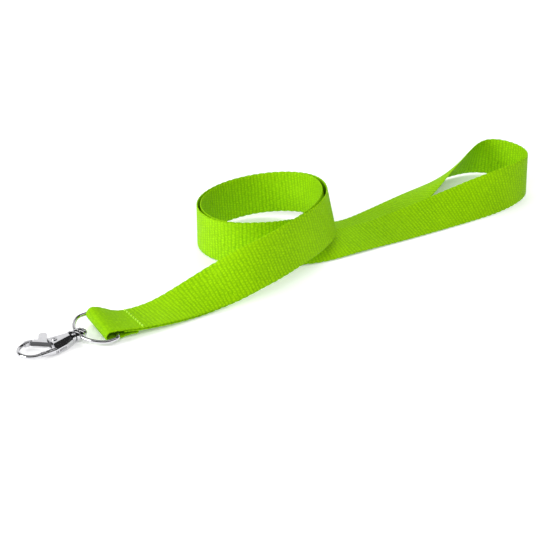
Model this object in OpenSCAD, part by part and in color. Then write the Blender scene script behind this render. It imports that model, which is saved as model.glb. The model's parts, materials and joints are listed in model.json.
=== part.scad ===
// Neck lanyard: flat woven strap with a D-ring and a swivel trigger hook, lying on a table.
// The strap is one band. It runs out doubled from its seam, makes one turn standing on its edge,
// and ends in the loop that goes over the head. The hook hangs on the ring in the strap's fold.

/* [Webbing] */
// Width of the webbing
webbing_w = 20; // [19:0.5:20.5]
// Thickness of one layer of webbing
webbing_t = 0.7; // [0.5:0.1:0.8]
// Stitches across the strap at the seam
stitch_n = 9; // [7:1:11]

/* [D-ring] */
// Diameter of the ring's wire
wire_d = 1.6; // [1.4:0.1:1.7]
// Clear width inside the ring
ring_inner_w = 22; // [21.5:0.5:22.5]
// Diameter of the boss on the ring that the swivel post turns in
boss_d = 5.2; // [5:0.1:5.3]

/* [Swivel] */
// Diameter of the swivel post
post_d = 2.2; // [2:0.1:2.4]
// Diameter of the loose washer between ring and hook
washer_d = 4.4; // [4.2:0.1:4.6]

/* [Hook] */
// Thickness of the hook's frame
frame_t = 3.6; // [3.4:0.1:3.8]
// Diameter of the circle along the middle of the hook's bend
bend_d = 11.8; // [11.4:0.1:12]
// Thickness of the bar that forms the hook's bend
bar_d = 1.6; // [1.5:0.1:1.8]
// Diameter of the rivet that the gate turns on
rivet_d = 1.2; // [1:0.1:1.3]

/* [Hidden] */
$fn = 48;

lime = [0.60, 0.84, 0.05];
lime_thread = [0.68, 0.90, 0.16];
nickel = [0.78, 0.78, 0.80];
dark_nickel = [0.62, 0.62, 0.64];
spring_steel = [0.70, 0.70, 0.72];

// ---- strap ---------------------------------------------------------------------------------

// Distance between the middles of two layers that are sewn together
sewn_pitch = webbing_t + 0.12;

// Air between the two layers at each row of the doubled strap: sewn at the seam, then loose
layer_gaps = [0.12, 0.12, 0.3, 0.3, 0.3, 0.3, 0.3, 0.5, 1.3, 1.9, 1.5,
              0.9, 0.6, 0.6, 0.7, 0.9, 1.1, 0.9, 0.6, 0.7, 0.9];

// Point on the table under the middle of the whole part, where the part's origin is
origin = [-0.1, 0.2, 0];

// The doubled strap from the seam to where its layers part: middle of the outer layer, and its
// lean in degrees from standing on its edge, towards the left of the way it runs
doubled_route = [
    [-72.4, -71.4, 3, 92],
    [-59.5, -63.4, 2.5, 88],
    [-49, -55.5, 4, 73],
    [-39, -50, 7.1, 58],
    [-30, -47, 10.6, 42],
    [-22, -43, 13.6, 32],
    [-13, -37, 15.6, 26],
    [-3, -27, 17.6, 20],
    [8, -14, 19.1, 16],
    [14.5, 2, 19.1, 16],
    [14.5, 20, 17.6, 9],
    [8.5, 36.5, 15.6, 0],
    [-3, 46.5, 13.6, -2],
    [-19, 48, 12.1, -1],
    [-35, 40.5, 11.1, -2],
    [-46, 27, 10.4, -2],
    [-49, 12, 10.3, 0],
    [-44, -1.5, 10.2, 0],
    [-34, -10, 10.3, 0],
    [-21, -12, 10.6, 8],
    [-6, -9, 10.25, 24]
];

// The single layer round the neck loop and back, written the same way
neck_loop = [
    [7, -1, 6.25, 52],
    [19, 8, 3.45, 76],
    [32, 17, 2.3, 80],
    [47, 26, 3.2, 74],
    [64, 36.5, 4.8, 64],
    [82, 47, 7, 49],
    [98, 56, 9.2, 27],
    [110.5, 66, 10.4, 9],
    [116.5, 77, 10.4, 0],
    [114.5, 89, 10.4, -3],
    [107, 98.5, 10.4, -3],
    [98.5, 102, 10.6, 6],
    [90, 98.5, 10.4, 23],
    [81, 90, 8.6, 40],
    [70, 78.5, 6, 56],
    [58.5, 65.5, 2.5, 78],
    [47, 52.5, 0.5, 90],
    [36.5, 41, 0.5, 90],
    [27, 30.5, 0.9, 90],
    [17, 19.5, 3.1, 100],
    [6, 7.5, 6.9, 125]
];

// Fold round the ring's bar: middle of the bend, its radius, and the way its width runs
fold_axis = [-83.5, -77, 3.8] - origin;
fold_r = 2.4;
fold_bearing = 119;
fold_rise = 7.5;
// The bend opens towards its far end: growth of its radius per millimetre of width
fold_flare = 0.03;
// Distances from the bend's middle to the rows between it and the seam
fold_rows = [4, 8];
// Distance from the bend's middle to the end of the inner layer
inner_end = 6;
// Length of the tail beyond the seam
tail_l = 1.2;
fold_step = 45;
rings_per_row = 4;

function unit(v) = v / norm(v);
function level(v) = unit([v.x, v.y, 0]);

// Width direction of a band that runs along `way` with a lean from upright towards its left
function leaning(way, lean) =
    let (left = cross([0, 0, 1], level(way)), up = cross(unit(way), left))
    unit(cos(lean) * up + sin(lean) * left);

function row_way(rows, i) =
    let (last = len(rows) - 1, a = rows[max(i - 1, 0)], b = rows[min(i + 1, last)])
    [b[0] - a[0], b[1] - a[1], b[2] - a[2]];

function row_point(row) = [row[0], row[1], row[2]] - origin;

outer_rows = concat(doubled_route, neck_loop);
outer_points = [for (row = outer_rows) row_point(row)];
outer_widths = [for (i = [0 : len(outer_rows) - 1]) leaning(row_way(outer_rows, i), outer_rows[i][3])];
doubled_n = len(doubled_route);

// The inner layer follows the outer one back from the neck loop to the seam
function inner_point(i) =
    outer_points[i] - (webbing_t + layer_gaps[i]) * cross(unit(row_way(outer_rows, i)), outer_widths[i]);
inner_points = [for (i = [doubled_n - 1 : -1 : 0]) inner_point(i)];
inner_widths = [for (i = [doubled_n - 1 : -1 : 0]) -outer_widths[i]];

// Fold and tail: from under the seam, back to the ring, round its bar and up to the seam
fold_width = [cos(fold_rise) * cos(fold_bearing), cos(fold_rise) * sin(fold_bearing), sin(fold_rise)];
fold_way = level(cross(fold_width, [0, 0, 1]));
fold_up = cross(fold_way, fold_width);
seam_drop = (outer_points[0] - fold_axis) * fold_up;
seam_run = (outer_points[0] - fold_axis) * fold_way;
fold_control_r = fold_r * 3 / (2 + cos(fold_step));

function beside_fold(run, rise) = fold_axis + run * fold_way + rise * fold_up;
function blend(a, b, t) = a + (b - a) * t * t * (3 - 2 * t);

// Height of a layer over the bend's middle, eased from the bend to the seam
function layer_rise(run, at_bend, at_seam) = blend(at_bend, at_seam, min(run / seam_run, 1));

// Width direction of the band where it has turned round the bend's middle
function fold_width_at(turn) =
    unit(fold_width + fold_flare * (cos(turn) * fold_way + sin(turn) * fold_up));

fold_turns = [-90 : -fold_step : -270];
top_points = [for (run = fold_rows) beside_fold(run, layer_rise(run, fold_r, seam_drop))];
bend_points = [for (turn = fold_turns)
    beside_fold(fold_control_r * cos(turn), fold_control_r * sin(turn))];

// At the seam the inner layer lies under the outer one, and the tail under both
seam_way = unit(row_way(outer_rows, 0));
seam_across = outer_widths[0];
seam_up = cross(seam_way, seam_across);
tail_at_seam = outer_points[0] - 2 * sewn_pitch * seam_up;
tail_rise = (tail_at_seam - fold_axis) * fold_up;
tail_points = concat([tail_at_seam + tail_l * seam_way],
    [for (run = [fold_rows[1], fold_rows[0]]) beside_fold(run, layer_rise(run, -fold_r, tail_rise))]);

// Width of a layer between bend and seam, turned from the bend's to the seam's
function layer_width(run, turn) = unit(blend(fold_width_at(turn), seam_across, min(run / seam_run, 1)));
inner_end_points = [for (run = [fold_rows[1], inner_end])
    beside_fold(run, layer_rise(run, fold_r, seam_drop))
    - sewn_pitch * cross(fold_way, layer_width(run, 90))];

strap_points = concat(tail_points, bend_points, top_points, outer_points, inner_points,
    inner_end_points);
strap_widths = concat(
    [seam_across, layer_width(fold_rows[1], -90), layer_width(fold_rows[0], -90)],
    [for (turn = fold_turns) fold_width_at(turn)],
    [for (run = fold_rows) layer_width(run, 90)],
    outer_widths, inner_widths, [-layer_width(fold_rows[1], 90), -layer_width(inner_end, 90)]);

// Uniform cubic spline through a list of rows
function spline_weights(t) =
    [pow(1 - t, 3), 3 * pow(t, 3) - 6 * pow(t, 2) + 4,
     -3 * pow(t, 3) + 3 * pow(t, 2) + 3 * t + 1, pow(t, 3)] / 6;
function spline_slopes(t) =
    [-pow(1 - t, 2), 3 * pow(t, 2) - 4 * t, -3 * pow(t, 2) + 2 * t + 1, pow(t, 2)] / 2;
function with_ends(rows) =
    let (last = len(rows) - 1)
    concat([2 * rows[0] - rows[1]], rows, [2 * rows[last] - rows[last - 1]]);
function mixed(rows, i, weights) = weights * [rows[i], rows[i + 1], rows[i + 2], rows[i + 3]];

// One cross-section of the band: four corners
function band_corners(middle, way, width) =
    let (across = unit(width - (width * way) * way) * webbing_w / 2,
         out = cross(way, unit(across)) * webbing_t / 2)
    [middle - across - out, middle + across - out, middle + across + out, middle - across + out];

// Every corner of a band whose rows are given by points and widths
function band_points(points, widths) =
    let (p = with_ends(points), w = with_ends(widths), spans = len(points) - 1)
    [for (k = [0 : spans * rings_per_row])
        let (i = min(floor(k / rings_per_row), spans - 1), t = k / rings_per_row - i)
        each band_corners(mixed(p, i, spline_weights(t)),
                          unit(mixed(p, i, spline_slopes(t))),
                          mixed(w, i, spline_weights(t)))];

// A tube of rings with `sides` corners each, closed at both ends. Its two halves are cut into
// triangles on the same slant, so that a twisted band keeps its thickness.
module tube(corners, sides) {
    rings = len(corners) / sides;
    walls = [for (k = [0 : rings - 2], s = [0 : sides - 1])
        let (a = k * sides + s, b = k * sides + (s + 1) % sides)
        each s < sides / 2 ? [[a, a + sides, b], [b, a + sides, b + sides]]
                           : [[a, a + sides, b + sides], [a, b + sides, b]]];
    first_end = [for (s = [0 : sides - 1]) s];
    last_end = [for (s = [sides - 1 : -1 : 0]) (rings - 1) * sides + s];
    polyhedron(corners, concat(walls, [first_end, last_end]), convexity = 10);
}

module webbing_strap() {
    color(lime) tube(band_points(strap_points, strap_widths), 4);
}

// ---- seam ----------------------------------------------------------------------------------

thread_d = 0.4;
stitch_gap = 0.25;
stitch_margin = 0.4;
stitch_run = (webbing_w - 2 * stitch_margin) / stitch_n;
seam_stack = webbing_t + 2 * sewn_pitch;

// One row of stitches on one face of the seam, as short rods with round ends
module stitch_row(height) {
    multmatrix([[seam_across.x, seam_way.x, seam_up.x, outer_points[0].x],
                [seam_across.y, seam_way.y, seam_up.y, outer_points[0].y],
                [seam_across.z, seam_way.z, seam_up.z, outer_points[0].z]])
        for (k = [0 : stitch_n - 1])
            translate([stitch_margin - webbing_w / 2 + (k + 0.5) * stitch_run, 0, height])
                rotate([0, 90, 0])
                    cylinder(h = stitch_run - stitch_gap, d = thread_d, center = true, $fn = 16);
}

module needle_thread() {
    color(lime_thread) stitch_row(webbing_t / 2 + thread_d / 2);
}

module bobbin_thread() {
    color(lime_thread) stitch_row(webbing_t / 2 - seam_stack);
}

// ---- ring ----------------------------------------------------------------------------------

// Middle of the ring's bar in the fold, and the ring's own axes: X towards the hook, Y along the bar
ring_bar = beside_fold(1.6, -0.15) - 0.5 * fold_width;
ring_heading = 216;
ring_pitch = 2.8;
ring_roll = -5;
ring_depth = 13;
ring_corner_r = 2.5;
ring_leg_end = 4.6;
ring_side_r = 5;
boss_l = 3.5;
running_gap = 0.1;

half_ring = (ring_inner_w + wire_d) / 2;
side_offset = half_ring - ring_side_r;
crown_rise = ring_depth - ring_leg_end;
// Radius that joins the two side arcs smoothly at the ring's depth
crown_r = (crown_rise ^ 2 + side_offset ^ 2 - ring_side_r ^ 2) / (2 * (crown_rise - ring_side_r));
crown_angle = atan2(side_offset, crown_r - crown_rise);

module at_ring() {
    translate(ring_bar) rotate([ring_roll, ring_pitch, ring_heading]) children();
}

// Wire bent round a centre in the ring's plane
module bent_wire(centre, radius, from, sweep) {
    translate(centre) rotate([0, 0, from])
        rotate_extrude(angle = sweep) translate([radius, 0]) circle(d = wire_d);
}

// Corner at the bar's end, straight leg and side arc of one half
module ring_side() {
    bent_wire([ring_corner_r, half_ring - ring_corner_r], ring_corner_r, 90, 90);
    translate([ring_corner_r, half_ring, 0]) rotate([0, 90, 0])
        cylinder(h = ring_leg_end - ring_corner_r, d = wire_d);
    bent_wire([ring_leg_end, side_offset], ring_side_r, crown_angle, 90 - crown_angle);
}

module d_ring() {
    color(nickel) at_ring() difference() {
        union() {
            translate([0, ring_corner_r - half_ring, 0]) rotate([-90, 0, 0])
                cylinder(h = 2 * (half_ring - ring_corner_r), d = wire_d);
            for (side = [0, 1]) mirror([0, side, 0]) ring_side();
            bent_wire([ring_depth - crown_r, 0], crown_r, -crown_angle, 2 * crown_angle);
            translate([ring_depth - boss_l / 2, 0, 0]) rotate([0, 90, 0]) cylinder(h = boss_l, d = boss_d);
        }
        translate([ring_depth - boss_l, 0, 0]) rotate([0, 90, 0])
            cylinder(h = 2 * boss_l, d = post_d + 2 * running_gap);
    }
}

// ---- swivel and hook, in the hook's own axes: X along the swivel from the boss to the bend ----

head_d = 4;
head_l = 1.9;
washer_l = 1.1;
post_fit = 0.04;
collar_d = 5.2;
collar_l = 0.7;
washer_start = boss_l / 2 + running_gap;
collar_start = washer_start + washer_l + running_gap;
frame_start = collar_start + collar_l;
frame_end = 13;
post_end = frame_start + 0.9;

gate_pivot = [10.9, 0.1];
gate_t = 2;

// Slot that holds the gate: open at the near side and at the frame's end
slot_start = gate_pivot.x - 2;
slot_wall = gate_pivot.y + 1.95;
slot_w = 6;
slot_h = 2.1;

bend_centre = [20.5, -0.7];
nose_angle = -118;
spine_start = [frame_end, 5.1];

module at_hook() {
    at_ring() translate([ring_depth, 0, 0]) rotate([-ring_roll, 0, 0]) children();
}

module along_swivel(from, length, d) {
    translate([from, 0, 0]) rotate([0, 90, 0]) cylinder(h = length, d = d);
}

module swivel_post() {
    color(nickel) at_hook() {
        along_swivel(-washer_start - 0.01, post_end + washer_start + 0.01, post_d);
        translate([-washer_start, 0, 0]) rotate([0, -90, 0]) rotate_extrude()
            polygon([[0, 0], [head_d / 2, 0], [head_d / 2, head_l * 0.5], [head_d * 0.36, head_l * 0.85],
                     [head_d * 0.2, head_l], [0, head_l]]);
    }
}

module swivel_washer() {
    color(dark_nickel) at_hook() difference() {
        along_swivel(washer_start, washer_l, washer_d);
        along_swivel(washer_start - 1, washer_l + 2, post_d + 2 * running_gap);
    }
}

// Ends of the frame's upright side, seen from above, and the height of its upper edge
side_start = [8, 4.6];
side_end = [frame_end + 0.6, 5.95];
side_top = 0.1;

// Edges of the frame's upper face and base inside the collar, and at the gate's end
frame_root = frame_start - 0.4;
top_root = [-1.1, 0.95];
base_root = [-2.2, 2.2];
near_edge = -2.4;
top_edge = 3.2;

// Upper face and base of the frame, seen from above: both widen from the collar to the gate's end
module frame_top() {
    polygon([[frame_root, top_root[0]], [frame_end, near_edge], [frame_end, top_edge],
             [frame_root, top_root[1]]]);
}

module frame_base() {
    polygon([[frame_root, base_root[0]], [frame_end, near_edge], side_end, side_start,
             [frame_root, base_root[1]]]);
}

// The side slopes from the narrower upper face to the top of its upright part
module frame_block() {
    hull() translate([0, 0, -frame_t / 2]) {
        linear_extrude(frame_t) frame_top();
        linear_extrude(frame_t / 2 + side_top) frame_base();
    }
}

// Straight side of the hook from the frame to where it meets the bend
bend_r = bend_d / 2;
to_bend = bend_centre - spine_start;
spine_l = sqrt(to_bend * to_bend - bend_r ^ 2);
spine_angle = atan2(to_bend.y, to_bend.x) + asin(bend_r / norm(to_bend));

nose_w = 2;
nose_t = 2.4;
nose_round = 0.6;
nose_sweep = 36;

// Rectangle round its own middle, with round corners
module rounded_block(w, h, r) {
    square([w - 2 * r, h], center = true);
    square([w, h - 2 * r], center = true);
    for (x = [-1, 1], y = [-1, 1]) translate([x * (w / 2 - r), y * (h / 2 - r)]) circle(r);
}

// The bend stops a little inside the block that forms the nose
nose_overlap = 3;
bend_sweep = spine_angle + 90 - nose_angle - nose_overlap;

module hook_bar() {
    translate([bend_centre.x, bend_centre.y, 0]) {
        rotate([0, 0, spine_angle + 90]) {
            mirror([0, 1, 0]) rotate_extrude(angle = bend_sweep)
                translate([bend_r, 0]) circle(d = bar_d);
            translate([bend_r, 0, 0]) rotate([-90, 0, 0]) cylinder(h = spine_l, d = bar_d);
        }
        rotate([0, 0, nose_angle])
            rotate_extrude(angle = nose_sweep)
                translate([bend_r, 0]) rounded_block(nose_w, nose_t, nose_round);
    }
}

leg_w = 2.2;
leg_d = 2;
leg_end = 19.6;

// Leg that tapers from the frame's side to the start of the bend
module leg() {
    hull() {
        translate([frame_end - 1, side_end.y - leg_w, -frame_t / 2])
            cube([1.6, leg_w, frame_t / 2 + side_top]);
        translate([leg_end, bend_centre.y + bend_r, 0]) rotate([0, 90, 0])
            cylinder(h = 0.3, d = leg_d, $fn = 32);
    }
}

spring_d = 1.5;
spring_wire = 0.3;
spring_y = gate_pivot.y + 0.9;
spring_start = gate_pivot.x - 3.8;
spring_end = gate_pivot.x - 1.55;

rib_n = 9;
rib_h = 1.1;
rib_depth = 0.8;
rib_z = -0.9;

// Row of upright grooves along the frame's upright side
module side_grooves() {
    along = side_end - side_start;
    pitch = norm(along) / (2 * rib_n);
    translate([side_start.x, side_start.y, rib_z]) rotate([0, 0, atan2(along.y, along.x)])
        for (k = [0 : rib_n - 1]) translate([(2 * k + 0.5) * pitch, -rib_depth, -rib_h / 2])
            cube([pitch, 2 * rib_depth, rib_h]);
}

lip_l = 1;
lip_t = 0.5;
lip_gap = 0.12;

module hook_body() {
    color(nickel) at_hook() difference() {
        union() {
            along_swivel(collar_start, collar_l, collar_d);
            frame_block();
            leg();
            hook_bar();
        }
        along_swivel(washer_start, post_end - washer_start + post_fit, post_d + post_fit);
        translate([slot_start, slot_wall - slot_w, -slot_h / 2])
            cube([frame_end - slot_start + 0.5, slot_w, slot_h]);
        translate([spring_start - 0.1, spring_y, 0]) rotate([0, 90, 0])
            cylinder(h = 3, d = spring_d + 0.3);
        translate([gate_pivot.x, gate_pivot.y, -frame_t])
            cylinder(h = 2 * frame_t, d = rivet_d + post_fit);
        side_grooves();
        nose_cut();
    }
}

gate_reach = norm(nose_point() - gate_pivot);
gate_angle = atan2(nose_point().y - gate_pivot.y, nose_point().x - gate_pivot.x);
function nose_point() = bend_centre + bend_r * [cos(nose_angle), sin(nose_angle)];

module at_gate() {
    translate([gate_pivot.x, gate_pivot.y, 0]) rotate([0, 0, gate_angle]) children();
}

// Seat inside the nose for the gate's lip, and a square end for the gate to meet
module nose_cut() {
    at_gate() {
        translate([gate_reach - 2, nose_w / 2 - lip_t - lip_gap, -nose_t])
            cube([2 + lip_l + 2 * lip_gap, nose_w, 2 * nose_t]);
        translate([gate_reach - 2, -nose_w, -nose_t]) cube([2, 2 * nose_w, 2 * nose_t]);
    }
}

hub_d = 3.4;
tab_r = 1.8;
tab_centre = [6, -4.9];
gate_gap = 0.12;

// Lever seen from above, in its own axes: X from the rivet to the nose
module gate_outline() {
    tip = gate_reach - gate_gap;
    circle(d = hub_d);
    edge = nose_w / 2;
    polygon([[0, -hub_d / 2], [tip - 2, -edge], [tip, -edge], [tip, edge - lip_t],
             [tip + lip_l, edge - lip_t], [tip + lip_l, edge - 0.1], [tip + lip_l - 0.3, edge],
             [tip - 2, edge], [0, hub_d / 2]]);
    translate(tab_centre) circle(tab_r);
    polygon([[3.4, -1], [7, -0.8], tab_centre + [tab_r, 0], tab_centre - [tab_r, 0]]);
}

module gate_lever() {
    color(nickel) at_hook() difference() {
        union() {
            at_gate() translate([0, 0, -gate_t / 2]) linear_extrude(gate_t) gate_outline();
            translate([gate_pivot.x - 1.5, gate_pivot.y + 0.6, -gate_t / 2]) cube([1, 0.7, gate_t]);
        }
        translate([gate_pivot.x, gate_pivot.y, -frame_t])
            cylinder(h = 2 * frame_t, d = rivet_d + running_gap);
    }
}

rivet_head_d = 2.3;
rivet_head_h = 0.3;

module gate_rivet() {
    color(dark_nickel) at_hook() translate([gate_pivot.x, gate_pivot.y, 0]) difference() {
        union() {
            translate([0, 0, -frame_t / 2]) cylinder(h = frame_t + 0.01, d = rivet_d);
            translate([0, 0, frame_t / 2]) cylinder(h = rivet_head_h, d = rivet_head_d);
        }
        translate([0, 0, frame_t / 2 + rivet_head_h + 0.35]) sphere(d = 1.1);
    }
}

coil_turns = 4;
coil_sides = 8;
coil_rings = 10;

// Rings of points along the spring's helix
function coil_points() =
    let (radius = (spring_d - spring_wire) / 2, rise = spring_end - spring_start - spring_wire)
    [for (k = [0 : coil_turns * coil_rings])
        let (turn = k * 360 / coil_rings,
             run = spring_start + spring_wire / 2 + rise * k / (coil_turns * coil_rings))
        for (s = [0 : coil_sides - 1])
            let (around = s * 360 / coil_sides, out = radius + spring_wire / 2 * cos(around))
            [run - spring_wire / 2 * sin(around), spring_y + out * cos(turn), out * sin(turn)]];

module gate_spring() {
    color(spring_steel) at_hook() tube(coil_points(), coil_sides);
}

webbing_strap();
needle_thread();
bobbin_thread();
d_ring();
swivel_post();
swivel_washer();
hook_body();
gate_lever();
gate_rivet();
gate_spring();
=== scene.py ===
"""A lime neck lanyard on a pale table: woven strap in a loose curl, D-ring and swivel trigger hook."""

import json
import math

import bpy
import numpy as np
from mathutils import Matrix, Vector


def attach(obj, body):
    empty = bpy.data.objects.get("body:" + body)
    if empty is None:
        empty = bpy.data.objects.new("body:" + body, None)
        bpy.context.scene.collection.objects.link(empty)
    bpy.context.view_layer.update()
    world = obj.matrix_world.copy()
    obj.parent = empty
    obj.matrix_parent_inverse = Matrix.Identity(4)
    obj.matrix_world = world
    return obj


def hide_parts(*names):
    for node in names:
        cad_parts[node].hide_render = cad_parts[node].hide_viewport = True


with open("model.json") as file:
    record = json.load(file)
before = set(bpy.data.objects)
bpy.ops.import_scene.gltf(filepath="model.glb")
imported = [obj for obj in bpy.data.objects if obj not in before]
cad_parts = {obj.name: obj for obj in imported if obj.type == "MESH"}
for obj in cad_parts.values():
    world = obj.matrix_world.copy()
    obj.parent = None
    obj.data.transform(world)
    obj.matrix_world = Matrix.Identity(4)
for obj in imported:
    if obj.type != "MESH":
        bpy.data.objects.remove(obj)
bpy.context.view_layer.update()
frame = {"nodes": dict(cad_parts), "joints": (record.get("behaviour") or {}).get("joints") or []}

MM = 0.001

# ---- places that the frame gives -------------------------------------------------------------

JOINTS = {j["name"]: j for j in frame["joints"]}
NODES = frame["nodes"]


def joint_point(name):
    return Vector(JOINTS[name]["pos_m"])


def joint_axis(name):
    return Vector(JOINTS[name]["axis"]).normalized()


# The ring's own axes: X along the swivel towards the hook, Y along the ring's bar
SWIVEL_X = np.array(joint_axis("hook_swivel"))
RING_Y = np.array(joint_axis("ring_swing"))
RING_Z = np.cross(SWIVEL_X, RING_Y)
RING_AT = np.array(joint_point("ring_swing"))
SWIVEL_AT = np.array(joint_point("hook_swivel"))


# ---- camera ----------------------------------------------------------------------------------

LOOK_AT = Vector((-13.9, -15.2, -0.4)) * MM
CAMERA_AWAY = 677.12 * MM
CAMERA_UP = math.radians(25.056)


def make_camera():
    data = bpy.data.cameras.new("camera")
    data.lens = 100
    data.sensor_width = 36
    data.clip_start = 0.05
    data.clip_end = 20
    camera = bpy.data.objects.new("camera", data)
    bpy.context.scene.collection.objects.link(camera)
    back = Vector((0, -math.cos(CAMERA_UP), math.sin(CAMERA_UP)))
    camera.location = LOOK_AT + CAMERA_AWAY * back
    camera.rotation_euler = (math.pi / 2 - CAMERA_UP, 0, 0)
    bpy.context.scene.camera = camera


make_camera()

# ---- material helpers ------------------------------------------------------------------------


class Shader:
    """A material's node tree with short calls to add nodes to it."""

    def __init__(self, name):
        self.material = bpy.data.materials.new(name)
        self.material.use_nodes = True
        self.tree = self.material.node_tree
        self.bsdf = self.tree.nodes["Principled BSDF"]

    def node(self, kind, **settings):
        made = self.tree.nodes.new(kind)
        for key, value in settings.items():
            setattr(made, key, value)
        return made

    def link(self, source, target):
        self.tree.links.new(source, target)
        return source

    def put(self, socket, value):
        """Links a socket, or sets its number or colour."""
        if isinstance(value, bpy.types.NodeSocket):
            self.tree.links.new(value, socket)
        else:
            socket.default_value = value

    def math(self, operation, a, b=0.0, c=0.0):
        made = self.node("ShaderNodeMath", operation=operation)
        for socket, value in zip(made.inputs, (a, b, c)):
            self.put(socket, value)
        return made.outputs[0]

    def mix(self, factor, a, b):
        made = self.node("ShaderNodeMix", data_type="RGBA")
        self.put(made.inputs["Factor"], factor)
        self.put(made.inputs[6], a)
        self.put(made.inputs[7], b)
        return made.outputs[2]

    def ramp(self, value, low, high, to_low=0.0, to_high=1.0):
        made = self.node("ShaderNodeMapRange")
        for socket, number in zip(made.inputs, (value, low, high, to_low, to_high)):
            self.put(socket, number)
        return made.outputs[0]

    def noise(self, vector, scale, detail=2.0, roughness=0.5):
        made = self.node("ShaderNodeTexNoise")
        self.put(made.inputs["Vector"], vector)
        made.inputs["Scale"].default_value = scale
        made.inputs["Detail"].default_value = detail
        made.inputs["Roughness"].default_value = roughness
        return made.outputs["Fac"]

    def objects_own(self):
        """Object coordinates, which are the row frame's metres."""
        return self.node("ShaderNodeTexCoord").outputs["Object"]

    def bump(self, height, distance, strength=1.0):
        made = self.node("ShaderNodeBump")
        made.inputs["Distance"].default_value = distance
        made.inputs["Strength"].default_value = strength
        self.put(made.inputs["Height"], height)
        self.link(made.outputs[0], self.bsdf.inputs["Normal"])


# The weave is pulled flatter where the band is folded round the ring than beyond the seam
FOLD_RELIEF = 0.35
RIB_PITCH = 1.72 * MM
YARN_PITCH = 1.2 * MM
# Webbing colours: the groove colour is painted shade, and the crest colour is a painted highlight that also
# serves as the pale tone of the large blotches and of the thread
LIME_GROOVE_SHADE = (0.17, 0.41, 0.0003, 1)
LIME = (0.225, 0.49, 0.0004, 1)
LIME_PALE_AND_CREST_HIGHLIGHT = (0.345, 0.69, 0.001, 1)


def webbing_material():
    """Ribbed polyester: rows of staggered beads of weft, on a UV map in metres along and across."""
    s = Shader("lime_webbing")
    place = s.node("ShaderNodeSeparateXYZ")
    s.link(s.node("ShaderNodeUVMap", uv_map="webbing").outputs[0], place.inputs[0])
    here = s.objects_own()
    drift = s.ramp(s.noise(here, 420, 2.0, 0.5), 0.3, 0.7, -0.16, 0.16)
    row = s.math("ADD", s.math("DIVIDE", place.outputs[0], RIB_PITCH), drift)
    stagger = s.math("MULTIPLY", s.math("MODULO", s.math("FLOOR", row), 2.0), 0.5)
    column = s.math("ADD", s.math("DIVIDE", place.outputs[1], YARN_PITCH), s.math("ADD", stagger, drift))
    over_rib = s.math("PINGPONG", row, 0.5)
    over_bead = s.math("PINGPONG", column, 0.5)
    rib = s.ramp(over_rib, 0.0, 0.28)
    bead = s.ramp(over_bead, 0.0, 0.3)
    woven = s.ramp(place.outputs[0], SEAM_RUN - 1 * MM, SEAM_RUN + 5 * MM, FOLD_RELIEF, 1.0)
    fuzz = s.noise(here, 3200, 3.0, 0.65)
    uneven = s.noise(here, 1100, 3.0, 0.6)
    cloud = s.noise(here, 45, 3.0, 0.55)
    # Painted shade and highlight: the rib-and-bead pattern darkens the grooves and lightens the crests,
    # added to the random fibre tone from fuzz and uneven
    crest = s.math("MULTIPLY", rib, s.math("ADD", s.math("MULTIPLY", bead, 0.5), 0.5))
    flat_crest = s.math("SUBTRACT", crest, 0.5)
    shown_crest = s.math("ADD", s.math("MULTIPLY", flat_crest, woven), 0.5)
    tone = s.math("ADD", s.math("MULTIPLY", shown_crest, 0.7), s.math("MULTIPLY", fuzz, 0.35))
    tone = s.math("ADD", tone, s.ramp(uneven, 0.3, 0.7, -0.26, 0.28))
    body = s.mix(s.ramp(tone, 0.1, 0.62), LIME_GROOVE_SHADE, LIME)
    body = s.mix(s.ramp(tone, 0.62, 1.15), body, LIME_PALE_AND_CREST_HIGHLIGHT)
    s.link(s.mix(s.ramp(cloud, 0.4, 0.8, 0.0, 0.3), body, LIME_PALE_AND_CREST_HIGHLIGHT), s.bsdf.inputs["Base Color"])
    s.link(s.ramp(fuzz, 0.3, 0.7, 0.55, 0.75), s.bsdf.inputs["Roughness"])
    s.bsdf.inputs["Specular IOR Level"].default_value = 0.08
    s.bump(s.math("ADD", shown_crest, s.math("MULTIPLY", fuzz, 0.5)), 0.12 * MM, 0.9)
    return s.material


THREAD_PALE = (0.55, 0.93, 0.04, 1)


def thread_material():
    s = Shader("lime_thread")
    here = s.objects_own()
    fibre = s.noise(here, 5200, 3.0, 0.6)
    s.link(s.mix(s.ramp(fibre, 0.35, 0.65), LIME_PALE_AND_CREST_HIGHLIGHT, THREAD_PALE), s.bsdf.inputs["Base Color"])
    s.link(s.ramp(fibre, 0.3, 0.7, 0.35, 0.5), s.bsdf.inputs["Roughness"])
    s.bsdf.inputs["Sheen Weight"].default_value = 0.1
    s.bump(fibre, 0.05 * MM, 0.6)
    return s.material


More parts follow.
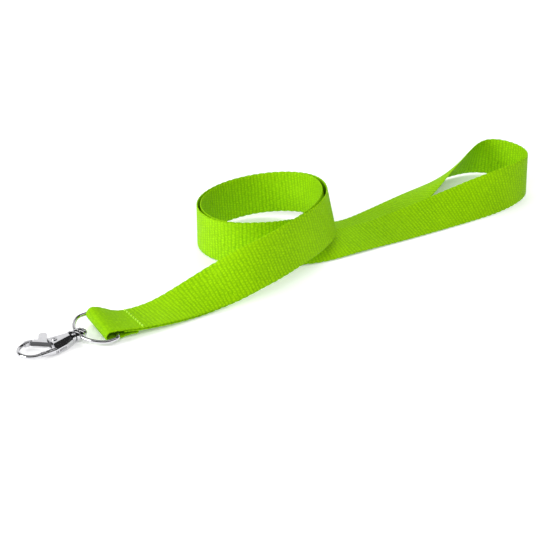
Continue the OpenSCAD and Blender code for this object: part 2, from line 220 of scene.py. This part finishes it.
def plating_material(name, colour, smooth, rough, worn=0.0, sides=1.0):
    """Plated metal with a faint orange peel, fine scuffs and duller patches.

    sides is the share of the colour kept on upright faces: painted shade, which makes the sides darker than
    the tops.
    """
    s = Shader(name)
    here = s.objects_own()
    peel = s.noise(here, 900, 2.0, 0.5)
    scuff = s.noise(here, 3500, 4.0, 0.7)
    patch = s.noise(here, 260, 3.0, 0.5)
    dull = tuple(0.82 * c for c in colour)
    plated = s.mix(s.ramp(patch, 0.4, 0.75, 0.0, 0.45 + worn), (*colour, 1), (*dull, 1))
    # Painted shade: faces standing upright to the ring's plane, picked by their normal, take a darker copy
    # of the colour
    facing = s.node("ShaderNodeVectorMath", operation="DOT_PRODUCT")
    s.link(s.node("ShaderNodeTexCoord").outputs["Normal"], facing.inputs[0])
    facing.inputs[1].default_value = RING_Z
    upright = s.ramp(s.math("ABSOLUTE", facing.outputs["Value"]), 0.35, 0.9, 1.0, 0.0)
    shaded_side_colour = tuple(sides * c for c in colour)
    s.link(s.mix(upright, plated, (*shaded_side_colour, 1)), s.bsdf.inputs["Base Color"])
    s.bsdf.inputs["Metallic"].default_value = 1.0
    s.link(s.ramp(s.math("MULTIPLY", scuff, s.math("ADD", patch, 0.4)), 0.25, 0.65, smooth, rough),
           s.bsdf.inputs["Roughness"])
    s.bump(s.math("ADD", peel, s.math("MULTIPLY", scuff, 0.25)), 0.02 * MM, 0.5)
    return s.material


def floor_material():
    s = Shader("pale_table")
    grain = s.noise(s.objects_own(), 30, 2.0, 0.5)
    s.link(s.mix(grain, (0.93, 0.93, 0.935, 1), (0.95, 0.95, 0.955, 1)), s.bsdf.inputs["Base Color"])
    s.bsdf.inputs["Roughness"].default_value = 0.6
    s.bsdf.inputs["Specular IOR Level"].default_value = 0.3
    s.bsdf.inputs["Emission Color"].default_value = (1, 1, 1, 1)
    s.bsdf.inputs["Emission Strength"].default_value = 0.17
    return s.material


# ---- strap: the same route as the CAD solid, in metres, with its lean in degrees ------------

STRAP_W = 20 * MM
STRAP_T = 0.7 * MM
SEWN_PITCH = STRAP_T + 0.12 * MM

# Air between the two layers at each row of the doubled route
LAYER_GAPS = MM * np.array(
    (0.12, 0.12, 0.3, 0.3, 0.3, 0.3, 0.3, 0.5, 1.3, 1.9, 1.5)
    + (0.9, 0.6, 0.6, 0.7, 0.9, 1.1, 0.9, 0.6, 0.7, 0.9)
)
ORIGIN = np.array((-0.1, 0.2, 0)) * MM

DOUBLED_ROUTE = (
    (-0.0724, -0.0714, 0.0030, 92),
    (-0.0595, -0.0634, 0.0025, 88),
    (-0.0490, -0.0555, 0.0040, 73),
    (-0.0390, -0.0500, 0.0071, 58),
    (-0.0300, -0.0470, 0.0106, 42),
    (-0.0220, -0.0430, 0.0136, 32),
    (-0.0130, -0.0370, 0.0156, 26),
    (-0.0030, -0.0270, 0.0176, 20),
    (0.0080, -0.0140, 0.0191, 16),
    (0.0145, 0.0020, 0.0191, 16),
    (0.0145, 0.0200, 0.0176, 9),
    (0.0085, 0.0365, 0.0156, 0),
    (-0.0030, 0.0465, 0.0136, -2),
    (-0.0190, 0.0480, 0.0121, -1),
    (-0.0350, 0.0405, 0.0111, -2),
    (-0.0460, 0.0270, 0.0104, -2),
    (-0.0490, 0.0120, 0.0103, 0),
    (-0.0440, -0.0015, 0.0102, 0),
    (-0.0340, -0.0100, 0.0103, 0),
    (-0.0210, -0.0120, 0.0106, 8),
    (-0.0060, -0.0090, 0.01025, 24),
)

NECK_LOOP = (
    (0.0070, -0.0010, 0.00625, 52),
    (0.0190, 0.0080, 0.00345, 76),
    (0.0320, 0.0170, 0.0023, 80),
    (0.0470, 0.0260, 0.0032, 74),
    (0.0640, 0.0365, 0.0048, 64),
    (0.0820, 0.0470, 0.0070, 49),
    (0.0980, 0.0560, 0.0092, 27),
    (0.1105, 0.0660, 0.0104, 9),
    (0.1165, 0.0770, 0.0104, 0),
    (0.1145, 0.0890, 0.0104, -3),
    (0.1070, 0.0985, 0.0104, -3),
    (0.0985, 0.1020, 0.0106, 6),
    (0.0900, 0.0985, 0.0104, 23),
    (0.0810, 0.0900, 0.0086, 40),
    (0.0700, 0.0785, 0.0060, 56),
    (0.0585, 0.0655, 0.0025, 78),
    (0.0470, 0.0525, 0.0005, 90),
    (0.0365, 0.0410, 0.0005, 90),
    (0.0270, 0.0305, 0.0009, 90),
    (0.0170, 0.0195, 0.0031, 100),
    (0.0060, 0.0075, 0.0069, 125),
)

# Fold round the ring's bar
FOLD_AXIS = np.array((-0.0835, -0.0770, 0.0038)) - ORIGIN
FOLD_R = 2.4 * MM
FOLD_BEARING = math.radians(119)
FOLD_RISE = math.radians(7.5)
FOLD_ROWS = (4 * MM, 8 * MM)
FOLD_FLARE = 0.03
FOLD_STEP = math.radians(45)
FOLD_TURNS = -math.pi / 2 - FOLD_STEP * np.arange(5)
INNER_END = 6 * MM
TAIL_L = 1.2 * MM


def unit(v):
    return v / np.linalg.norm(v)


def leaning(way, lean):
    """Width direction of a band that runs along way, with a lean from upright towards its left."""
    left = np.cross((0, 0, 1), unit(way * (1, 1, 0)))
    up = np.cross(unit(way), left)
    return unit(math.cos(lean) * up + math.sin(lean) * left)


def strap_rows():
    """Control points and width directions of the whole band, from the tail's end to the inner end."""
    rows = np.array(DOUBLED_ROUTE + NECK_LOOP)
    points = rows[:, :3] - ORIGIN
    ways = points[np.minimum(np.arange(len(rows)) + 1, len(rows) - 1)] - points[
        np.maximum(np.arange(len(rows)) - 1, 0)
    ]
    widths = np.array([leaning(w, math.radians(r)) for w, r in zip(ways, rows[:, 3])])
    doubled = range(len(DOUBLED_ROUTE) - 1, -1, -1)
    inner = [
        points[i] - (STRAP_T + LAYER_GAPS[i]) * np.cross(unit(ways[i]), widths[i]) for i in doubled
    ]
    inner_widths = [-widths[i] for i in doubled]

    fold_width = np.array(
        (
            math.cos(FOLD_RISE) * math.cos(FOLD_BEARING),
            math.cos(FOLD_RISE) * math.sin(FOLD_BEARING),
            math.sin(FOLD_RISE),
        )
    )
    fold_way = unit(np.cross(fold_width, (0, 0, 1)) * (1, 1, 0))
    fold_up = np.cross(fold_way, fold_width)
    seam_way, seam_across = unit(ways[0]), widths[0]
    seam_up = np.cross(seam_way, seam_across)
    seam_run = (points[0] - FOLD_AXIS) @ fold_way
    seam_drop = (points[0] - FOLD_AXIS) @ fold_up
    tail_at_seam = points[0] - 2 * SEWN_PITCH * seam_up
    tail_rise = (tail_at_seam - FOLD_AXIS) @ fold_up

    def eased(a, b, run):
        t = min(run / seam_run, 1)
        return a + (b - a) * t * t * (3 - 2 * t)

    def beside(run, rise):
        return FOLD_AXIS + run * fold_way + rise * fold_up

    def turned(turn):
        return math.cos(turn) * fold_way + math.sin(turn) * fold_up

    def layer_width(run, turn):
        return unit(eased(unit(fold_width + FOLD_FLARE * turned(turn)), seam_across, run))

    under, over = -math.pi / 2, math.pi / 2
    control_r = FOLD_R * 3 / (2 + math.cos(FOLD_STEP))
    tail = [tail_at_seam + TAIL_L * seam_way]
    tail += [beside(run, eased(-FOLD_R, tail_rise, run)) for run in reversed(FOLD_ROWS)]
    bend = [FOLD_AXIS + control_r * turned(turn) for turn in FOLD_TURNS]
    top = [beside(run, eased(FOLD_R, seam_drop, run)) for run in FOLD_ROWS]
    inner_tip = [
        beside(run, eased(FOLD_R, seam_drop, run)) - SEWN_PITCH * np.cross(fold_way, layer_width(run, over))
        for run in (FOLD_ROWS[1], INNER_END)
    ]
    all_points = np.array(tail + bend + top + list(points) + inner + inner_tip)
    all_widths = np.array(
        [seam_across, layer_width(FOLD_ROWS[1], under), layer_width(FOLD_ROWS[0], under)]
        + [layer_width(0, turn) for turn in FOLD_TURNS]
        + [layer_width(run, over) for run in FOLD_ROWS]
        + list(widths)
        + inner_widths
        + [-layer_width(FOLD_ROWS[1], over), -layer_width(INNER_END, over)]
    )
    return all_points, all_widths, len(tail) + len(bend) + len(top)


ROW_POINTS, ROW_WIDTHS, SEAM_ROW = strap_rows()


def with_ends(rows):
    return np.vstack([2 * rows[0] - rows[1], rows, 2 * rows[-1] - rows[-2]])


def spline(rows, at):
    """Uniform cubic spline through rows, and its slope, at the given row numbers."""
    rows = with_ends(rows)
    i = np.clip(np.floor(at).astype(int), 0, len(rows) - 4)
    t = (at - i)[:, None]
    value = (
        (1 - t) ** 3 * rows[i]
        + (3 * t**3 - 6 * t**2 + 4) * rows[i + 1]
        + (-3 * t**3 + 3 * t**2 + 3 * t + 1) * rows[i + 2]
        + t**3 * rows[i + 3]
    ) / 6
    slope = (
        -((1 - t) ** 2) * rows[i]
        + (3 * t**2 - 4 * t) * rows[i + 1]
        + (-3 * t**2 + 2 * t + 1) * rows[i + 2]
        + t**2 * rows[i + 3]
    ) / 2
    return value, slope


def normalised(v):
    return v / np.linalg.norm(v, axis=1)[:, None]


def band_frames(at):
    """Middle, way along, way across and outward normal of the band at the given row numbers."""
    middle, way = spline(ROW_POINTS, at)
    way = normalised(way)
    width = spline(ROW_WIDTHS, at)[0]
    across = normalised(width - (width * way).sum(1)[:, None] * way)
    return middle, way, across, np.cross(way, across)


FINE_ROWS = np.linspace(0, len(ROW_POINTS) - 1, 40 * len(ROW_POINTS))
FINE_RUN = np.concatenate(
    [[0], np.cumsum(np.linalg.norm(np.diff(spline(ROW_POINTS, FINE_ROWS)[0], axis=0), axis=1))]
)
STRAP_LENGTH = FINE_RUN[-1]
SEAM_RUN = np.interp(SEAM_ROW, FINE_ROWS, FINE_RUN)


def frames_at(run):
    """The band's frames at distances along it."""
    return band_frames(np.interp(run, FINE_RUN, FINE_ROWS))


def new_object(name, verts, faces, material, smooth=True):
    mesh = bpy.data.meshes.new(name)
    mesh.from_pydata([tuple(v) for v in verts], [], faces)
    mesh.materials.append(material)
    mesh.polygons.foreach_set("use_smooth", [smooth] * len(mesh.polygons))
    mesh.update()
    made = bpy.data.objects.new(name, mesh)
    bpy.context.scene.collection.objects.link(made)
    return made


def joined_grid(rings, sides):
    """Quads of a tube of rings, each with the given number of corners."""
    k = np.arange(rings - 1)[:, None] * sides
    j = np.arange(sides)[None]
    nxt = (j + 1) % sides
    return np.stack([k + j, k + nxt, k + nxt + sides, k + j + sides], axis=-1).reshape(-1, 4).tolist()


def merged(parts):
    """One list of verts and one of faces from several."""
    verts, faces, count = [], [], 0
    for v, f in parts:
        faces += [[i + count for i in face] for face in f]
        verts.append(v)
        count += len(v)
    return np.concatenate(verts), faces


RINGS_PER_RIB = 5
RIB_RELIEF = 0.17
NUB = 0.3 * MM
WOBBLE = 0.05
WOBBLE_STEPS = 240
ROUNDED = 0.7

# The stitches pull the upper face down by this share, over this distance
SEAM_DIP = 0.35
SEAM_DIP_RUN = 0.9 * MM

# Section of the band: place as a share of half the width, height as a share of half the thickness
SECTION_V = (-1, -0.985, -0.95, -0.88, -0.74, -0.55, -0.33, -0.11)
SECTION_V += tuple(-v for v in reversed(SECTION_V))
SECTION_H = (0, 0.62, 0.9, 1, 1, 1, 1, 1)
SECTION_H += SECTION_H[::-1]


def make_strap(material):
    """The band with its weft ribs, scalloped edges and slight unevenness as real shape."""
    rng = np.random.default_rng(7)
    rings = int(STRAP_LENGTH / RIB_PITCH * RINGS_PER_RIB)
    run = np.linspace(0, STRAP_LENGTH, rings + 1)
    v = np.array(SECTION_V)
    h = np.array(SECTION_H)
    steps = np.linspace(0, STRAP_LENGTH, WOBBLE_STEPS)
    wobble = np.interp(run, steps, rng.normal(0, WOBBLE, WOBBLE_STEPS))
    phase = np.pi * run / RIB_PITCH + wobble
    outer_rib = np.abs(np.sin(phase)) ** ROUNDED
    inner_rib = np.abs(np.cos(phase)) ** ROUNDED
    relief = RIB_RELIEF * np.interp(run, (SEAM_RUN, SEAM_RUN + 4 * MM), (FOLD_RELIEF, 1))
    near_seam = np.exp(-(((run - SEAM_RUN) / SEAM_DIP_RUN) ** 2))
    outer_h = STRAP_T / 2 * (1 - relief * (1 - outer_rib) - SEAM_DIP * near_seam)
    inner_h = STRAP_T / 2 * (1 - relief * (1 - inner_rib))
    left_nub = NUB * (np.abs(np.sin(phase / 2)) ** 0.5 - 1)
    right_nub = NUB * (np.abs(np.cos(phase / 2)) ** 0.5 - 1)
    middle, way, across, out = frames_at(run)

    def half(heights, sign, columns):
        left = (STRAP_W / 2 + left_nub)[:, None]
        right = (STRAP_W / 2 + right_nub)[:, None]
        side = v[None, columns] * np.where(v[None, columns] < 0, left, right)
        lift = sign * heights[:, None] * h[None, columns]
        return middle[:, None] + side[..., None] * across[:, None] + lift[..., None] * out[:, None]

    order = np.arange(len(v))
    top = half(outer_h, 1, order)
    bottom = half(inner_h, -1, order[-2:0:-1])
    verts = np.concatenate([top, bottom], axis=1)
    around = verts.shape[1]
    v_around = np.concatenate([v, v[-2:0:-1]])
    caps = [list(range(around))[::-1], [rings * around + k for k in range(around)]]
    faces = joined_grid(rings + 1, around) + caps
    strap = new_object("lime_strap", verts.reshape(-1, 3), faces, material)
    layer = strap.data.uv_layers.new(name="webbing")
    loops = np.zeros(len(strap.data.loops), int)
    strap.data.loops.foreach_get("vertex_index", loops)
    uv = np.stack([run[loops // around], v_around[loops % around] * STRAP_W / 2], axis=1)
    layer.data.foreach_set("uv", uv.reshape(-1).astype(np.float32))
    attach(strap, "strap")
    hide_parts("webbing_strap")
    return strap


# ---- seam ------------------------------------------------------------------------------------

# The seam crosses the folded tail this far from its end
TAIL_SEAM_RUN = 0.9 * MM
STITCHES = 9
STITCH_MARGIN = 0.4 * MM
STITCH_GAP = 0.42 * MM
STITCH_SLANT = 0.16 * MM
THREAD_R = 0.42 * MM
PLY_DEPTH = 0.16
PLY_TURN = 0.7 * MM
THREAD_SIDES = 12
STITCH_RINGS = 17


def thread_stitch(start, end, lift):
    """Verts and faces of one two-ply stitch that dips into the webbing at both ends."""
    t = np.linspace(0, 1, STITCH_RINGS)
    height = np.sin(np.pi * t) ** 0.6 * 1.2 - 0.75
    path = start + (end - start) * t[:, None] + lift * (height * THREAD_R)[:, None]
    way = normalised(np.gradient(path, axis=0))
    side = normalised(np.cross(way, lift))
    up = np.cross(side, way)
    run = np.linalg.norm(end - start) * t
    turn = np.linspace(0, 2 * np.pi, THREAD_SIDES, endpoint=False)
    ply = 1 - PLY_DEPTH * np.abs(np.sin(turn[None] + np.pi * run[:, None] / PLY_TURN)) ** 3
    taper = np.minimum(1, 0.55 + 2.5 * np.minimum(t, 1 - t))
    radius = THREAD_R * ply * taper[:, None]
    verts = (
        path[:, None]
        + (radius * np.cos(turn))[..., None] * side[:, None]
        + (radius * np.sin(turn))[..., None] * up[:, None]
    )
    last = (STITCH_RINGS - 1) * THREAD_SIDES
    caps = [list(range(THREAD_SIDES))[::-1], list(range(last, last + THREAD_SIDES))]
    faces = joined_grid(STITCH_RINGS, THREAD_SIDES) + caps
    return verts.reshape(-1, 3), faces


def make_stitches(name, node, run, face, material):
    """One row of stitches across one face of the band at a distance along it."""
    middle, way, across, out = (f[0] for f in frames_at(np.array([run])))
    lift = face * out
    surface = middle + lift * STRAP_T / 2
    edge = STRAP_W / 2 - STITCH_MARGIN
    holes = np.linspace(-edge, edge, STITCHES + 1)
    stitches = []
    for a, b in zip(holes[:-1], holes[1:]):
        start = surface + across * (a + STITCH_GAP) - way * STITCH_SLANT
        end = surface + across * (b - STITCH_GAP) + way * STITCH_SLANT
        stitches.append(thread_stitch(start, end, lift))
    row = new_object(name, *merged(stitches), material)
    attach(row, "strap")
    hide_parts(node)
    return row


# ---- metalwork -------------------------------------------------------------------------------

WIRE_R = 0.8 * MM
RING_HALF = 11.8 * MM
RING_DEPTH = float((SWIVEL_AT - RING_AT) @ SWIVEL_X)
CORNER_R = 2.5 * MM
LEG_END = 4.6 * MM
SIDE_R = 5 * MM
BORE_R = 1.2 * MM
BOSS_HALF = 1.75 * MM
BOSS_R = 2.6 * MM
TURN_SIDES = 64
WIRE_SIDES = 24


def arc(centre, radius, start, end, steps=20):
    turn = np.radians(np.linspace(start, end, steps))
    return [(centre[0] + radius * math.cos(t), centre[1] + radius * math.sin(t)) for t in turn]


def ring_path():
    """Middle of the ring's wire in its own plane, from inside the boss round to inside the boss."""
    rise = RING_DEPTH - LEG_END
    offset = RING_HALF - SIDE_R
    crown_r = (rise**2 + offset**2 - SIDE_R**2) / (2 * (rise - SIDE_R))
    crown_end = math.degrees(math.atan2(offset, crown_r - rise))
    inside_boss = math.degrees(math.asin((BORE_R + BOSS_R) / 2 / crown_r))
    half = arc((RING_DEPTH - crown_r, 0), crown_r, inside_boss, crown_end, 30)
    half += arc((LEG_END, offset), SIDE_R, crown_end, 90)[1:]
    half += arc((CORNER_R, RING_HALF - CORNER_R), CORNER_R, 90, 180)
    return np.array(half + [(x, -y) for x, y in reversed(half)])


def wire_ring():
    """Verts and faces of the ring's round wire."""
    flat = ring_path()
    path = RING_AT + flat[:, :1] * SWIVEL_X + flat[:, 1:] * RING_Y
    way = normalised(np.gradient(path, axis=0))
    side = normalised(np.cross(way, RING_Z))
    turn = np.linspace(0, 2 * np.pi, WIRE_SIDES, endpoint=False)
    verts = (
        path[:, None]
        + WIRE_R * np.cos(turn)[None, :, None] * side[:, None]
        + WIRE_R * np.sin(turn)[None, :, None] * RING_Z
    )
    last = (len(path) - 1) * WIRE_SIDES
    caps = [list(range(WIRE_SIDES))[::-1], list(range(last, last + WIRE_SIDES))]
    return verts.reshape(-1, 3), joined_grid(len(path), WIRE_SIDES) + caps


def turned_part(profile, closed):
    """Verts and faces of a profile of distance along the swivel and radius, turned about the swivel."""
    profile = np.array(profile)
    turn = np.linspace(0, 2 * np.pi, TURN_SIDES, endpoint=False)
    circle = np.cos(turn)[:, None] * RING_Y + np.sin(turn)[:, None] * RING_Z
    middle = SWIVEL_AT + profile[:, :1] * SWIVEL_X
    verts = (middle[:, None] + profile[:, 1][:, None, None] * circle[None]).reshape(-1, 3)
    faces = joined_grid(len(profile), TURN_SIDES)
    last = (len(profile) - 1) * TURN_SIDES
    if closed:
        faces += [
            [last + j, last + (j + 1) % TURN_SIDES, (j + 1) % TURN_SIDES, j] for j in range(TURN_SIDES)
        ]
    else:
        faces += [list(range(TURN_SIDES))[::-1], list(range(last, last + TURN_SIDES))]
    return verts, faces


def sleeve_profile(start, end, bore, radius, roundness, waist):
    """Closed profile of a bored sleeve with rounded ends and a shallow waist."""
    x = np.linspace(-1, 1, 33)
    outer = radius * (1 - roundness * x**6 - waist * np.exp(-((x / 0.22) ** 2)))
    along = (start + end) / 2 + x * (end - start) / 2
    return [(start, bore)] + list(zip(along, outer)) + [(end, bore)]


def place_metal(name, parts, material, body, node):
    piece = new_object(name, *merged(parts), material)
    piece.data.set_sharp_from_angle(angle=math.radians(40))
    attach(piece, body)
    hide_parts(node)
    return piece


def make_ring(material):
    """Bent wire and the boss that the swivel post turns in."""
    sleeve = sleeve_profile(-BOSS_HALF, BOSS_HALF, BORE_R, BOSS_R, 0.08, 0.07)
    boss = turned_part(sleeve, closed=True)
    place_metal("wire_ring", [wire_ring(), boss], material, "ring", "d_ring")


RUNNING_GAP = 0.1 * MM
WASHER_START = BOSS_HALF + RUNNING_GAP
WASHER_END = WASHER_START + 1.1 * MM
WASHER_R = 2.2 * MM
POST_R = 1.1 * MM
POST_END = 4.65 * MM

# Riveted head: distance from under the head and radius, in millimetres
HEAD = ((0, 1.72), (0.14, 1.92), (0.4, 2), (0.85, 1.96), (1.05, 1.72))
HEAD += ((1.12, 1.4), (1.3, 1.42), (1.62, 1.3), (1.82, 0.95), (1.9, 0.5))


def make_swivel(washer_material, post_material):
    """Loose washer, and the post with its stepped, riveted head."""
    sleeve = sleeve_profile(WASHER_START, WASHER_END, BORE_R, WASHER_R, 0.25, 0)
    washer = turned_part(sleeve, closed=True)
    place_metal("loose_washer", [washer], washer_material, "hook", "swivel_washer")
    under_head = -BOSS_HALF - RUNNING_GAP
    shank = [(POST_END, POST_R), (under_head, POST_R)]
    profile = shank + [(under_head - x * MM, r * MM) for x, r in HEAD]
    post = turned_part(profile[::-1], closed=False)
    place_metal("headed_post", [post], post_material, "hook", "swivel_post")


PLATED = {
    "hook_body": plating_material("cast_plating", (0.64, 0.64, 0.66), 0.06, 0.14),
    # The lever's upright sides keep only 0.16 of its colour, as painted shade
    "gate_lever": plating_material("lever_plating", (0.66, 0.66, 0.68), 0.06, 0.14, sides=0.16),
    "gate_rivet": plating_material("rivet_plating", (0.62, 0.62, 0.64), 0.12, 0.28, 0.2),
    "gate_spring": plating_material("spring_wire", (0.60, 0.60, 0.62), 0.2, 0.35),
}
EDGE_ROUND = {"hook_body": 0.22 * MM, "gate_lever": 0.38 * MM, "gate_rivet": 0.15 * MM}


def finish_metal(node, material):
    part = NODES[node]
    part.data.materials.clear()
    part.data.materials.append(material)
    if node in EDGE_ROUND:
        bevel = part.modifiers.new("edges", "BEVEL")
        bevel.width = EDGE_ROUND[node]
        bevel.segments = 4
        bevel.use_clamp_overlap = node == "hook_body"
        bevel.limit_method = "ANGLE"
        bevel.angle_limit = math.radians(32)
        bevel.harden_normals = True


for node, material in PLATED.items():
    finish_metal(node, material)

make_ring(plating_material("bright_ring", (0.68, 0.68, 0.70), 0.04, 0.10))
make_swivel(
    plating_material("washer_plating", (0.60, 0.60, 0.62), 0.08, 0.18),
    plating_material("post_plating", (0.64, 0.64, 0.66), 0.05, 0.12),
)
webbing = webbing_material()
thread = thread_material()
make_strap(webbing)
make_stitches("needle_stitches", "needle_thread", SEAM_RUN, 1, thread)
make_stitches("bobbin_stitches", "bobbin_thread", TAIL_SEAM_RUN, 1, thread)

# ---- table, light and background -------------------------------------------------------------


def make_floor():
    half = 3.0
    corners = [(-half, -half, 0), (half, -half, 0), (half, half, 0), (-half, half, 0)]
    floor = new_object("table", corners, [(0, 1, 2, 3)], floor_material(), smooth=False)


def area_light(name, at, towards, size, power, mirrored=True):
    """A soft rectangle of light; one that isn't mirrored doesn't show in the metal."""
    data = bpy.data.lights.new(name, "AREA")
    data.shape = "RECTANGLE"
    data.size, data.size_y = size
    data.energy = power
    light = bpy.data.objects.new(name, data)
    light.visible_glossy = mirrored
    bpy.context.scene.collection.objects.link(light)
    light.location = at
    light.rotation_euler = (Vector(towards) - Vector(at)).to_track_quat("-Z", "Y").to_euler()


class Studio:
    """Background of a small studio: what lights the cloth, and what the metal mirrors.

    MIRRORED runs over the table from the front horizon (0 degrees) over the top (90) to the back (180).
    """

    PALE = 0.55
    DARK = 0.015
    FRONT_TOP = math.radians(22)
    TOP_FADE = 0.14
    BACK_FADE = 0.22
    MIRRORED = (
        (0, 0.6),
        (5, 0.3),
        (10, 0.02),
        (72, 0.02),
        (79, 1.4),
        (88, 1.4),
        (95, 0.03),
        (138, 0.04),
        (147, 1.1),
        (164, 1.0),
        (172, 0.06),
        (180, 0.05),
    )


def make_world():
    world = bpy.data.worlds.new("studio")
    bpy.context.scene.world = world
    world.use_nodes = True
    world.cycles.sampling_method = "NONE"
    tree = world.node_tree

    def smooth_step(value, low, high):
        made = tree.nodes.new("ShaderNodeMapRange")
        made.interpolation_type = "SMOOTHSTEP"
        tree.links.new(value, made.inputs[0])
        made.inputs["From Min"].default_value = low
        made.inputs["From Max"].default_value = high
        return made.outputs[0]

    def math_node(operation, a, b):
        made = tree.nodes.new("ShaderNodeMath")
        made.operation = operation
        for socket, value in zip(made.inputs, (a, b)):
            if isinstance(value, bpy.types.NodeSocket):
                tree.links.new(value, socket)
            else:
                socket.default_value = value
        return made.outputs[0]

    split = tree.nodes.new("ShaderNodeSeparateXYZ")
    tree.links.new(tree.nodes.new("ShaderNodeTexCoord").outputs["Generated"], split.inputs[0])
    front_top = math.sin(Studio.FRONT_TOP)
    high = smooth_step(split.outputs["Z"], front_top, front_top + Studio.TOP_FADE)
    near = smooth_step(split.outputs["Y"], Studio.BACK_FADE, 0.0)
    shade = tree.nodes.new("ShaderNodeMapRange")
    tree.links.new(math_node("MULTIPLY", high, near), shade.inputs[0])
    shade.inputs["To Min"].default_value = Studio.PALE
    shade.inputs["To Max"].default_value = Studio.DARK

    over = math_node("ARCTAN2", split.outputs["Z"], math_node("MULTIPLY", split.outputs["Y"], -1.0))
    bands = tree.nodes.new("ShaderNodeValToRGB")
    tree.links.new(math_node("DIVIDE", over, math.pi), bands.inputs[0])
    stops = bands.color_ramp.elements
    while len(stops) < len(Studio.MIRRORED):
        stops.new(1.0)
    for stop, (angle, level) in zip(stops, Studio.MIRRORED):
        stop.position = angle / 180
        stop.color = (level, level, level, 1)

    mirrored = tree.nodes.new("ShaderNodeLightPath").outputs["Is Glossy Ray"]
    both = tree.nodes.new("ShaderNodeMix")
    for socket, value in zip((both.inputs[0], both.inputs[2], both.inputs[3]),
                             (mirrored, shade.outputs[0], bands.outputs[0])):
        tree.links.new(value, socket)
    background = tree.nodes["Background"]
    background.inputs["Color"].default_value = (1, 1, 1, 1)
    tree.links.new(both.outputs[0], background.inputs["Strength"])


make_floor()
area_light("key", (-1.3, -0.6, 0.5), (0, 0, 0), (0.9, 0.7), 16.5)
area_light("back", (0.2, 1.2, 1.1), (0, 0, 0), (1.4, 1.0), 13.8, mirrored=False)
area_light("front", (0, -1.0, 1.1), (0, 0, 0), (1.4, 1.0), 14.8, mirrored=False)
make_world()

bpy.context.scene.view_settings.view_transform = "Standard"
